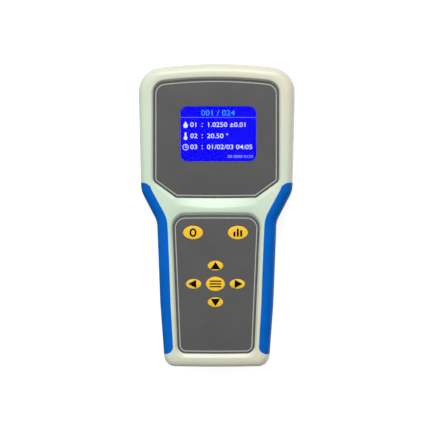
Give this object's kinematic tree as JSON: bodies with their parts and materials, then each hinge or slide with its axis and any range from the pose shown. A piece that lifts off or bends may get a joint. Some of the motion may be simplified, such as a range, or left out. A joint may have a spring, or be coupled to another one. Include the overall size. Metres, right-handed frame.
{
  "type": "portable density meter",
  "caption": "Handheld density meter: wide display head, tapered handle with soft side grips, film keypad with arrow keys, sliding battery door, sensor socket.",
  "frame": {"origin": "centre of the rear face that the meter rests on", "axes": "+Z out of the front with the display, +Y towards the display end, +X to the right of the display"},
  "size_m": [0.1032, 0.2, 0.038],
  "materials": {
    "shell": "fine moulded texture, satin",
    "grip": "matt soft-touch",
    "panel": "matt printed film",
    "window": "clear, polished",
    "key": "satin, printed",
    "screen": "lit blue screen",
    "spacer": "matt",
    "film": "satin film",
    "light": "matt white",
    "black": "matt black",
    "board": "solder mask, satin",
    "seal": "matt",
    "steel": "plain",
    "gold": "bright",
    "lead": "satin insulation",
    "cell": "satin sleeve"
  },
  "bodies": {
    "housing": {"front_housing": "shell", "rear_housing": "shell", "left_grip": "grip", "right_grip": "grip", "display_panel": "panel", "keypad_overlay": "panel", "display_window": "window", "lcd_glass": "screen", "keypad_spacer": "spacer", "keypad_circuit": "film", "keypad_tail": "film", "lcd_flex": "film", "lcd_backlight": "light", "board_connectors": "light", "lcd_frame": "black", "board_chips": "black", "coin_cell_holder": "black", "buzzer": "black", "socket_insert": "black", "board_capacitors": "black", "main_board": "board", "housing_seal": "seal", "socket_seal": "seal", "keypad_domes": "steel", "clock_crystal": "steel", "board_screws": "steel", "coin_cell": "steel", "socket_nut": "steel", "contact_plates": "steel", "contact_springs": "steel", "housing_screws": "steel", "sensor_socket": "steel", "socket_contacts": "gold", "sensor_lead": "lead", "battery_lead": "lead", "battery_cells": "cell"},
    "zero_key": {"zero_key": "key"},
    "mode_key": {"mode_key": "key"},
    "up_key": {"up_key": "key"},
    "down_key": {"down_key": "key"},
    "left_key": {"left_key": "key"},
    "right_key": {"right_key": "key"},
    "menu_key": {"menu_key": "key"},
    "battery_door": {"battery_door": "shell"}
  },
  "joints": [
    {"name": "zero_key_press", "type": "slide", "parent": "housing", "child": "zero_key", "axis": [0, 0, -1], "range_m": [0, 0.0005], "stiffness_N_per_m": 5000},
    {"name": "mode_key_press", "type": "slide", "parent": "housing", "child": "mode_key", "axis": [0, 0, -1], "range_m": [0, 0.0005], "stiffness_N_per_m": 5000},
    {"name": "up_key_press", "type": "slide", "parent": "housing", "child": "up_key", "axis": [0, 0, -1], "range_m": [0, 0.0005], "stiffness_N_per_m": 5000},
    {"name": "down_key_press", "type": "slide", "parent": "housing", "child": "down_key", "axis": [0, 0, -1], "range_m": [0, 0.0005], "stiffness_N_per_m": 5000},
    {"name": "left_key_press", "type": "slide", "parent": "housing", "child": "left_key", "axis": [0, 0, -1], "range_m": [0, 0.0005], "stiffness_N_per_m": 5000},
    {"name": "right_key_press", "type": "slide", "parent": "housing", "child": "right_key", "axis": [0, 0, -1], "range_m": [0, 0.0005], "stiffness_N_per_m": 5000},
    {"name": "menu_key_press", "type": "slide", "parent": "housing", "child": "menu_key", "axis": [0, 0, -1], "range_m": [0, 0.0005], "stiffness_N_per_m": 5000},
    {"name": "battery_door_slide", "type": "slide", "parent": "housing", "child": "battery_door", "axis": [0, -1, 0], "range_m": [0, 0.06]}
  ]
}
